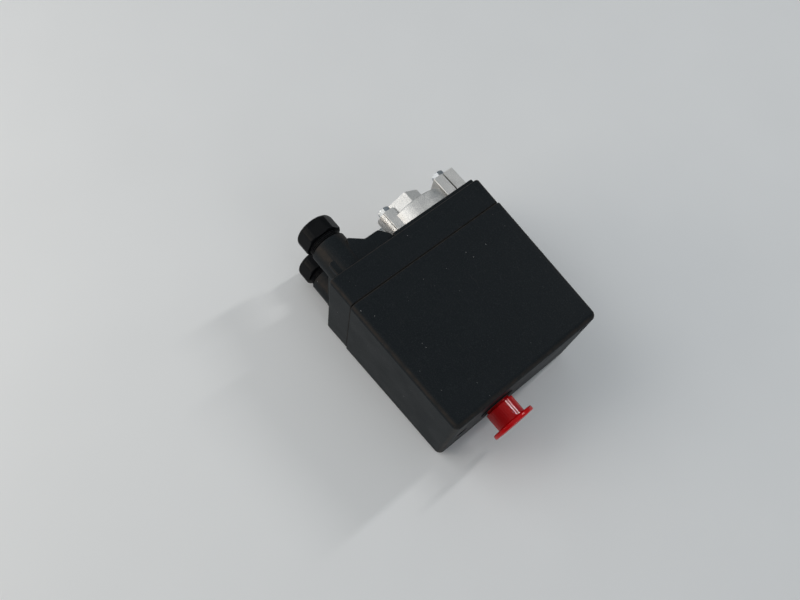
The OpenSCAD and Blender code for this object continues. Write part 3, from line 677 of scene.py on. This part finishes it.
def brass():
    """Turned brass, a little tarnished."""
    f = Finish("brass", Metallic=1.0)
    bright, tarnished, worn_edge = (0.80, 0.60, 0.28), (0.52, 0.36, 0.16), (0.92, 0.75, 0.42)
    tarnish = f.noise(3, 4)
    rubbed = f.rubbed(0.3, 1.2, 0.35, 0.6)
    base = f.mix(f.spread(tarnish, 0.35, 0.75), bright, tarnished)
    f.colour(f.mix(f.times(rubbed, 0.6), base, worn_edge))
    f.roughness(tarnish, 0.22, 0.4)
    f.relief((f.noise(0.12, 2, (1, 30, 30)), 0.003), (f.noise(0.6, 2), 0.005))
    return f.material


def phenolic():
    """Brown-black phenolic moulding with paler filler flecks."""
    f = Finish("phenolic", **{"Specular IOR Level": 0.5})
    deep, pale, fleck = (0.022, 0.013, 0.009), (0.045, 0.026, 0.017), (0.13, 0.085, 0.05)
    clouds = f.noise(5, 4)
    flecks = f.spread(f.noise(0.35, 3, (1, 4, 1)), 0.62, 0.75)
    f.colour(f.mix(f.times(flecks, 0.5), f.mix(clouds, deep, pale), fleck))
    f.roughness(clouds, 0.3, 0.42)
    f.relief((f.noise(9, 1), 0.03), (f.noise(0.4, 2), 0.008))
    return f.material


def acetal():
    """Off-white acetal, slightly translucent."""
    f = Finish("acetal", **{
        "Specular IOR Level": 0.5,
        "Subsurface Weight": 0.12,
        "Subsurface Scale": MM,
        "Subsurface Radius": (1.0, 0.9, 0.7),
    })
    clouds = f.noise(6, 3)
    f.colour(f.mix(clouds, (0.70, 0.68, 0.60), (0.80, 0.78, 0.70)))
    f.roughness(clouds, 0.32, 0.45)
    f.relief((f.noise(0.5, 2), 0.006))
    return f.material


# ---------------------------------------------------------------- housing

def section(x, step, inset, radius, steps=8):
    """Round-cornered section of the housing at a station; its sides and front lean in along X."""
    half = HALF_WIDTH - SIDE_LEAN * (x - FACE_X) + step - inset
    top = -BACK_Z - FRONT_LEAN * (x - FACE_X) + step - inset
    bottom = BACK_Z + inset
    points = []
    for turn, (y, z) in enumerate(((half, top), (-half, top), (-half, bottom), (half, bottom))):
        centre_y = MID_Y + y - math.copysign(radius, y)
        centre_z = z - math.copysign(radius, z)
        for i in range(steps + 1):
            angle = math.radians(90 * (turn + i / steps))
            points.append((
                x,
                centre_y + radius * math.cos(angle),
                centre_z + radius * math.sin(angle),
            ))
    return points


def loft(stations, step=0):
    """Shape through the housing's sections at stations (x, inset, radius), widened by a step."""
    return skin([section(x, step, inset, radius) for x, inset, radius in stations])


def round_end(x, depth, reach, radius, direction, steps=8):
    """Stations that round an end over: depth along X and reach inwards, up to the plane x."""
    stations = []
    for i in range(steps + 1):
        angle = math.radians(90 * i / steps)
        inset = reach * (1 - math.cos(angle))
        stations.append((x - direction * depth * (1 - math.sin(angle)), inset, max(radius - inset, LEAST_R)))
    return stations


def housing_cover():
    """Moulded hood, with bosses round its two screws and a hole for the knob's collar."""
    outside = [(COVER_X, SEAM_LIP, COVER_R - SEAM_LIP), (COVER_X + SEAM_LIP, 0, COVER_R)]
    outside += round_end(END_X, COVER_R, COVER_R, COVER_R, 1)
    fillet = 1.2
    ceiling = round_end(CEILING_X, fillet, fillet, COVER_INNER_R, 1, 4)
    inside = [(COVER_X - PAST, COVER_WALL, COVER_INNER_R)]
    inside += [(x, COVER_WALL + inset, radius) for x, inset, radius in ceiling]
    cover = solid("housing_cover", loft(outside, SEAM_STEP))
    cut(cover, loft(inside, SEAM_STEP))
    add(cover, *[bore(PILLAR_BOSS_X, CEILING_X + 1, PILLAR_BOSS_R, y, z) for y, z in PILLARS])
    cut(cover, bore(CEILING_X - PAST, END_X + PAST, COVER_HOLE_R, KNOB_Y, 0, 96))
    for y, z in PILLARS:
        cut(
            cover,
            bore(PILLAR_BOSS_X - PAST, END_X, COVER_SCREW_HOLE_R, y, z),
            bore(END_X - COVER_HEAD_DEPTH, END_X + PAST, COVER_HEAD_HOLE_R, y, z),
        )
    soften(cover, 0.35, 2, 50)
    return stand_for(cover, "cover", "hood_plastic")


def plinth():
    """Raised seat of the two glands, with a ridge between them, stepped down beside the flange."""
    top_x, step_x, ridge_x = FACE_X - PLINTH_HEIGHT, FACE_X - 5, BOSS_X + 5
    gland_side = GLAND_Y - 10.5
    return prism_z(-PLINTH_HALF, PLINTH_HALF, rounded([
        (FACE_X + 1, gland_side, 0), (top_x, gland_side, 2),
        (top_x, GLAND_Y + 6, 2), (ridge_x, GLAND_Y + 9, 1.5), (top_x, GLAND_Y + 18.2, 3),
        (top_x, PLINTH_EDGE_Y - 5, 2), (step_x, PLINTH_EDGE_Y, 2), (FACE_X + 1, PLINTH_EDGE_Y, 0),
    ]))


def lug(x0, x1, place, side, gap=0):
    """Bar along X for a flange lug above or below the port, made larger all round by a gap."""
    (y0, y1), (z0, z1) = place
    z0, z1 = sorted((side * (z0 - gap), side * (z1 + gap)))
    corners = ((y0 - gap, z0), (y1 + gap, z0), (y1 + gap, z1), (y0 - gap, z1))
    return prism_x(x0, x1, rounded([(y, z, LUG_R) for y, z in corners]))


def flange_seat():
    """Raised seat round the foot of the flange, left open where the flange stands."""
    along_y, along_z = (PLINTH_EDGE_Y - 1, SEAT_FAR_Y), (-SEAT_HALF, SEAT_HALF)
    seat = solid("tool", block((SEAT_X, FACE_X + 1), along_y, along_z))
    soften(seat, 1, 3, 60)
    settle(seat)
    cut(seat, bore(SEAT_X - PAST, FACE_X, DISC_R + SEAT_GAP, sides=128))
    for side in (-1, 1):
        for place in (NEAR_LUG, FAR_LUG):
            cut(seat, lug(SEAT_X - PAST, FACE_X, place, side, SEAT_GAP))
    return seat


def base_shell():
    """Moulded base: its wall and floor, the rim inside the cover, both seats and all holes."""
    edge_depth, edge_reach = 1.6, 1.4
    outside = round_end(FACE_X, edge_depth, edge_reach, BASE_R, -1)[::-1]
    outside += [(SEAM_X - SEAM_LIP, 0, BASE_R), (SEAM_X, SEAM_LIP, BASE_R - SEAM_LIP)]
    base = solid("base_shell", loft(outside))
    seat = solid("tool", plinth())
    soften(seat, 1.2, 3, 60)
    settle(seat)
    combine(base, "UNION", [seat, flange_seat()])
    rim_end = SEAM_X + RIM_HEIGHT
    rim = [(SEAM_X - 6, RIM_INSET, 3), (rim_end - 0.5, RIM_INSET, 3), (rim_end, RIM_INSET + 0.4, 2.6)]
    cavity = [(FLOOR_X, CAVITY_INSET + 1, 1), (FLOOR_X + 1, CAVITY_INSET, 2), (SEAM_X + 6, CAVITY_INSET, 2)]
    glands = [(GLAND_Y, side * GLAND_Z) for side in (-1, 1)]
    posts = [(KNOB_Y, side * BLOCK_SCREW_Z) for side in (-1, 1)]
    valve = middle("unloader_body")
    add(base, loft(rim, SEAM_STEP), *[bore(BOSS_X, FACE_X + 1, BOSS_R, y, z) for y, z in glands])
    cut(base, loft(cavity, SEAM_STEP))
    add(base, *[bore(FLOOR_X - 1, BLOCK_X, BLOCK_POST_R, y, z, 48) for y, z in posts])
    soften(base, 0.6, 2, 42)
    settle(base)
    inside_x = FLOOR_X + PAST
    cut(base, *[bore(BOSS_X - PAST, inside_x, GLAND_THREAD_R + 0.02, y, z) for y, z in glands])
    cut(base, bore(FACE_X - PAST, FACE_X + 2, DIAPHRAGM_HOLE_R), bore(FACE_X, inside_x, CHAMBER_R + 0.2))
    cut(base, *[bore(FACE_X - PAST, inside_x, FLANGE_SCREW_HOLE_R, y, z, 32) for y, z in FLANGE_SCREWS])
    cut(base, bore(SEAT_X - PAST, inside_x, VALVE_HOLE_R, valve.y, valve.z, 48))
    cut(base, *[bore(FLOOR_X + 0.5, BLOCK_X + PAST, BLOCK_SCREW_HOLE_R, y, z, 32) for y, z in posts])
    return stand_for(base, "base_housing", "hood_plastic")


# ---------------------------------------------------------------- knob

def knob():
    """Push-pull knob: a clear neck, a finely ribbed stem and a plain thin disc."""
    inner, clip, tip = low("knob").x, low("knob_clip").x, high("knob").x
    stem = END_X + 2
    disc = END_X + KNOB_STEM_LENGTH
    socket_end = END_X + 6.5
    socket_r, neck_r, groove_r, groove_width = 3.6, 8.5, 7.9, 1.2
    rim_r, dish_r, dish_depth = 12.4, 11.2, 0.4
    corners = [
        (socket_end, 0, 0), (socket_end, socket_r, 0.3), (inner, socket_r, 0.4), (inner, neck_r, 0.5),
        (clip, neck_r, 0.1), (clip, groove_r, 0),
        (clip + groove_width, groove_r, 0), (clip + groove_width, neck_r, 0.1),
        (stem, neck_r, 0.4), (stem, KNOB_STEM_R, 0.6), (disc, KNOB_STEM_R, 0.5),
        (disc, KNOB_DISC_R, 0.9), (tip, KNOB_DISC_R, 0.9),
        (tip, rim_r, 2), (tip - dish_depth, dish_r, 2), (tip - dish_depth, 0, 0),
    ]
    ribs, rib_depth, rib_sharpness = 48, 0.07, 0.6

    def ribbed(x, radius, angle):
        if not (stem < x < disc + 0.01 and KNOB_STEM_R - 0.6 < radius < KNOB_STEM_R + 0.1):
            return radius
        wave = 0.5 - 0.5 * math.cos(ribs * angle)
        return radius - rib_depth * wave ** rib_sharpness

    profile = [p for p in rounded(corners) if p[1] > 0.01]
    piece = solid("knob_body", lathe(profile, KNOB_Y, 0, ribs * 8, shape=ribbed))
    return stand_for(piece, "knob", "knob_plastic")


def knob_collar():
    """Rubber lip that lines the knob's hole."""
    lip_x, sleeve_r = high("knob_collar").x, COLLAR_BORE_R + 1
    corners = [
        (CEILING_X, COLLAR_BORE_R, 0.3), (CEILING_X, sleeve_r, 0.2), (END_X, sleeve_r, 0),
        (END_X, COLLAR_R, 0.3), (lip_x, COLLAR_R, 0.35), (lip_x, COLLAR_BORE_R, 0.35),
    ]
    piece = solid("knob_lip", lathe(rounded(corners), KNOB_Y, 0, 96, bored=True))
    return stand_for(piece, "knob_collar", "black_rubber")


# ---------------------------------------------------------------- pressure flange

def port_hexagon():
    """Hexagon round the port. Its outer end is turned down at its corners, to a crown."""
    reach = PORT_ACROSS / math.sqrt(3) * 1.02
    face = reach * PORT_CROWN
    inner = DISC_X + 1
    profile = [(0, 0.1), (0, face), ((reach - face) * 0.6, reach), (inner, reach), (inner, 0.1)]
    return lathe(profile, sides=180,
                 shape=lambda x, radius, angle: six_sided(radius, angle, PORT_ACROSS, PORT_TURN))


def flange_disc():
    """Round diaphragm housing, with rounded rims."""
    corners = [(DISC_X, 0, 0), (DISC_X, DISC_R, 0.8), (FACE_X, DISC_R, 0.8), (FACE_X, 0, 0)]
    return lathe([p for p in rounded(corners, 3) if p[1] > 0], sides=128)


def flange():
    """Die-cast flange: hexagonal port, round diaphragm housing and four screw lugs."""
    foot_x = FACE_X - 0.01
    body = solid("flange_body", port_hexagon())
    add(body, flange_disc())
    groove_inner, groove_outer = FAR_LUG[1][1] - 3, FAR_LUG[1][1] + PAST
    for side in (-1, 1):
        add(body, lug(LUG_X, foot_x, NEAR_LUG, side))
        add(body, bore(LUG_X, foot_x, NEAR_LUG_ROUND_R, NEAR_SCREW_Y, side * NEAR_LUG_ROUND_Z, 64))
        add(body, lug(LUG_X, foot_x, FAR_LUG, side))
        groove_z = sorted((side * groove_inner, side * groove_outer))
        cut(body, block((LUG_X - PAST, FACE_X - 4), FAR_LUG_GROOVE, groove_z))
    soften(body, 0.5, 2, 35)
    settle(body)
    mouth_r, mouth_depth = 10.3, 1.4
    mouth = lathe([(-PAST, mouth_r), (mouth_depth, PORT_ROOT_R + 0.12), (mouth_depth + 0.1, 0.1)])
    chamber = bore(FACE_X - CHAMBER_DEPTH, FACE_X + PAST, CHAMBER_R)
    cut(body, thread(-0.5, PORT_DEPTH, PORT_ROOT_R, PORT_CREST_R, PORT_PITCH))
    cut(body, mouth, bore(PORT_DEPTH - PAST, FACE_X, THROAT_R, sides=48), chamber)
    cut(body, *[bore(LUG_X - PAST, FACE_X + PAST, FLANGE_SCREW_HOLE_R, y, z, 32) for y, z in FLANGE_SCREWS])
    return stand_for(body, "flange", "cast_alloy")


def flange_screws():
    """Four hexagonal bolts with a thread at their tips."""
    top, tip = low("flange_screws").x, high("flange_screws").x
    under_head, thread_start = top + 3.5, tip - 4.2
    crown_r, head_r, root_r, pitch, steps = 3.9, 4.7, 2.1, 0.8, 42
    corners = [
        (top, 0, 0), (top, crown_r, 0.1), (top + 0.4, head_r, 0.1), (under_head, head_r, 0.1),
        (under_head, FLANGE_SCREW_R, 0.1), (thread_start, FLANGE_SCREW_R, 0),
    ]
    profile = [p for p in rounded(corners, 2) if p[1] > 0]
    for i in range(1, steps + 1):
        profile.append((thread_start + (tip - thread_start) * i / steps, FLANGE_SCREW_R))

    def shape(x, radius, angle):
        if x > thread_start:
            return threaded(x, angle, thread_start, tip, root_r, FLANGE_SCREW_R, pitch)
        return six_sided(radius, angle, FLANGE_SCREW_ACROSS, FLANGE_SCREW_TURN)

    piece = solid("flange_bolts", *[lathe(profile, y, z, 120, shape=shape) for y, z in FLANGE_SCREWS])
    return stand_for(piece, "flange_screws", "plated_steel")


def flange_washers():
    """Plain washers under the flange's bolts."""
    x0, x1 = low("flange_washers").x, high("flange_washers").x
    washers = [ring(x0, x1, 4.8, FLANGE_SCREW_HOLE_R, y, z, 0.2, 48) for y, z in FLANGE_SCREWS]
    return stand_for(solid("bolt_washers", *washers), "flange_washers", "plated_steel")


# ---------------------------------------------------------------- cable glands

def gland_body(place, z):
    """Gland body with the ridged neck between its boss and its cap."""
    node = place + "_gland_body"
    start, end, cap = low(node).x, high(node).x, high(place + "_gland_cap").x
    front_r, neck_r, groove_r, groove_width, pitch = 9.3, 11, 9.9, 0.55, 1.1
    neck = cap + 0.5
    corners = [
        (end, CABLE_R, 0.4), (start, CABLE_R, 0.4), (start, front_r, 0.3),
        (neck, front_r, 0), (neck, neck_r, 0.35),
    ]
    for i in (1, 2, 3):
        groove = cap + pitch * i
        corners += [
            (groove, neck_r, 0.15), (groove, groove_r, 0),
            (groove + groove_width, groove_r, 0), (groove + groove_width, neck_r, 0.15),
        ]
    corners += [(BOSS_X, neck_r, 0), (BOSS_X, GLAND_THREAD_R, 0), (end, GLAND_THREAD_R, 0.4)]
    piece = solid(place + "_gland_barrel", lathe(rounded(corners, 3), GLAND_Y, z, 96, bored=True))
    return stand_for(piece, node, "gland_plastic")


def gland_seal(place, z):
    """Rubber ring between the body and the cap."""
    node = place + "_gland_seal"
    seal = ring(low(node).x, high(node).x, 9, CABLE_R + 0.1, GLAND_Y, z, 0.45)
    return stand_for(solid(place + "_gland_ring", seal), node, "black_rubber")


def gland_cap(place, z):
    """Hexagonal cap with its corners turned round and its outer end domed."""
    node = place + "_gland_cap"
    outer, inner = low(node).x, high(node).x
    reach, dome, entry_r, bore_r = CAP_ACROSS / math.sqrt(3) - 1, 3.4, 6.7, 9.35
    shoulder = outer + 2.6
    profile = [
        (outer, entry_r + 0.8), (outer + 0.2, entry_r + 0.3), (outer + 0.6, entry_r),
        (shoulder, entry_r), (shoulder, bore_r), (inner, bore_r),
        (inner, reach - 0.8), (inner - 0.3, reach - 0.3), (inner - 0.8, reach),
    ]
    for degrees in range(90, -1, -5):
        angle = math.radians(degrees)
        profile.append((outer + dome * (1 - math.cos(angle)), reach + dome * (math.sin(angle) - 1)))
    cap = lathe(profile, GLAND_Y, z, 180, bored=True,
                shape=lambda x, radius, angle: six_sided(radius, angle, CAP_ACROSS, CAP_TURN))
    return stand_for(solid(place + "_gland_nut", cap), node, "gland_plastic")


# ---------------------------------------------------------------- springs

def spring(node, name, radius, wire, turns):
    """Coil spring between the ends of its CAD node."""
    piece = solid(name, coil(low(node).x, high(node).x, radius, wire, turns, middle(node).y))
    return stand_for(piece, node, "spring_steel")


def pressed(coil_piece):
    """Gives the spring a mesh of its own."""
    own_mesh(coil_piece)


# ---------------------------------------------------------------- nodes that keep their CAD shape

CAD_EDGE = 0.22


def dress(node, slot):
    """Gives a CAD node that stays its finish, and rounds its edges a little."""
    piece = frame["nodes"][node]
    weld = piece.modifiers.new("weld", "WELD")
    weld.merge_threshold = WELD
    flat = piece.modifiers.new("flat", "DECIMATE")
    flat.decimate_type = "DISSOLVE"
    flat.angle_limit = math.radians(0.8)
    soften(piece, CAD_EDGE, 2, 40)
    piece.modifiers.new("normals", "WEIGHTED_NORMAL")
    piece.data.materials.clear()
    piece.data.materials.append(finishes[slot])


# ---------------------------------------------------------------- stage and lights

def stage_floor():
    """Wide pale floor under the switch's back."""
    half = 3000
    corners = ((-half, -half), (half, -half), (half, half), (-half, half))
    floor = solid("floor", ([(x, y, BACK_Z) for x, y in corners], [(0, 1, 2, 3)]))
    paper = Finish("floor_paper", Roughness=0.9, **{"Specular IOR Level": 0.2})
    paper.colour(paper.mix(paper.noise(90, 2), (0.82, 0.83, 0.84), (0.86, 0.87, 0.88)))
    floor.data.materials.append(paper.material)


def softbox(name, place, aim, size, power, tint=(1, 1, 1), turn=0):
    """Rectangular soft light, aimed at a point and turned about its aim. Places and sizes are in metres."""
    data = bpy.data.lights.new(name, "AREA")
    data.shape = "RECTANGLE"
    data.size, data.size_y = size
    data.energy = power
    data.color = tint
    light = bpy.data.objects.new(name, data)
    light.location = place
    light.rotation_mode = "QUATERNION"
    towards = Vector(aim) - Vector(place)
    light.rotation_quaternion = Quaternion(-towards, math.radians(turn)) @ towards.to_track_quat("-Z", "Y")
    light.visible_camera = False
    scene.collection.objects.link(light)


def add_studio():
    """World with a plain backdrop for the camera, and five soft lights."""
    world = bpy.data.worlds.new("studio")
    world.use_nodes = True
    nodes, links = world.node_tree.nodes, world.node_tree.links
    around = nodes["Background"]
    around.inputs["Color"].default_value = (0.80, 0.92, 1.0, 1)
    around.inputs["Strength"].default_value = 0.2
    backdrop = nodes.new("ShaderNodeBackground")
    backdrop.inputs["Color"].default_value = (0.97, 0.98, 1.0, 1)
    backdrop.inputs["Strength"].default_value = 0.62
    path, either = nodes.new("ShaderNodeLightPath"), nodes.new("ShaderNodeMixShader")
    links.new(path.outputs["Is Camera Ray"], either.inputs[0])
    links.new(around.outputs[0], either.inputs[1])
    links.new(backdrop.outputs[0], either.inputs[2])
    links.new(either.outputs[0], nodes["World Output"].inputs["Surface"])
    scene.world = world
    switch = (0.07, -0.02, 0)
    daylight, warm = (1.0, 0.99, 0.97), (1.0, 0.90, 0.78)
    softbox("ceiling", (-0.18, 0.135, 1.1), (-0.18, 0.135, 0), (1.6, 0.9), 1.5, (1.0, 0.99, 0.98), -27.5)
    softbox("window", (0.10, 0.80, 0.80), switch, (0.05, 0.30), 2.2, daylight)
    softbox("key", (-0.62, -0.58, 0.85), switch, (0.8, 0.8), 4.2, daylight)
    softbox("gland_side", (-0.42, -0.92, 0.30), switch, (0.7, 0.4), 3.2, warm)
    softbox("knob_side", (0.95, -0.10, 0.60), switch, (0.5, 0.5), 1.2)


# ---------------------------------------------------------------- the switch

finishes = {make.__name__: make() for make in (
    hood_plastic, gland_plastic, knob_plastic, cast_alloy, plated_steel,
    spring_steel, black_rubber, brass, phenolic, acetal,
)}

add_camera()
housing_cover()
base_shell()
knob()
knob_collar()
flange()
flange_screws()
flange_washers()
for place, z in (("upper", GLAND_Z), ("lower", -GLAND_Z)):
    gland_body(place, z)
    gland_seal(place, z)
    gland_cap(place, z)
main_coil = spring("main_spring", "main_coil", radius=9, wire=2.4, turns=7)
pressed(main_coil)
differential_coil = spring("differential_spring", "differential_coil", radius=3.4, wire=1.2, turns=9)
pressed(differential_coil)
spring("rod_spring", "rod_coil", radius=4.8, wire=1.1, turns=6)

KEPT = {
    "black_rubber": ("cover_gasket", "diaphragm"),
    "plated_steel": (
        "cover_pillars", "cover_screws", "knob_clip", "switch_rod", "mounting_plate", "side_plates",
        "top_plate", "rocker", "pivot_pin", "pivot_clips", "spring_plate", "adjusting_screw",
        "differential_plate", "differential_screw", "block_screws", "terminal_clamps",
        "terminal_screws", "unloader_plunger",
    ),
    "spring_steel": ("contact_springs", "unloader_spring"),
    "brass": (
        "contact_bridges", "fixed_contacts", "earth_clamp", "earth_screw", "unloader_body", "unloader_nut",
    ),
    "phenolic": ("terminal_block",),
    "acetal": ("piston", "piston_guide", "contact_carrier"),
}
for slot, nodes in KEPT.items():
    for node in nodes:
        dress(node, slot)

stage_floor()
add_studio()
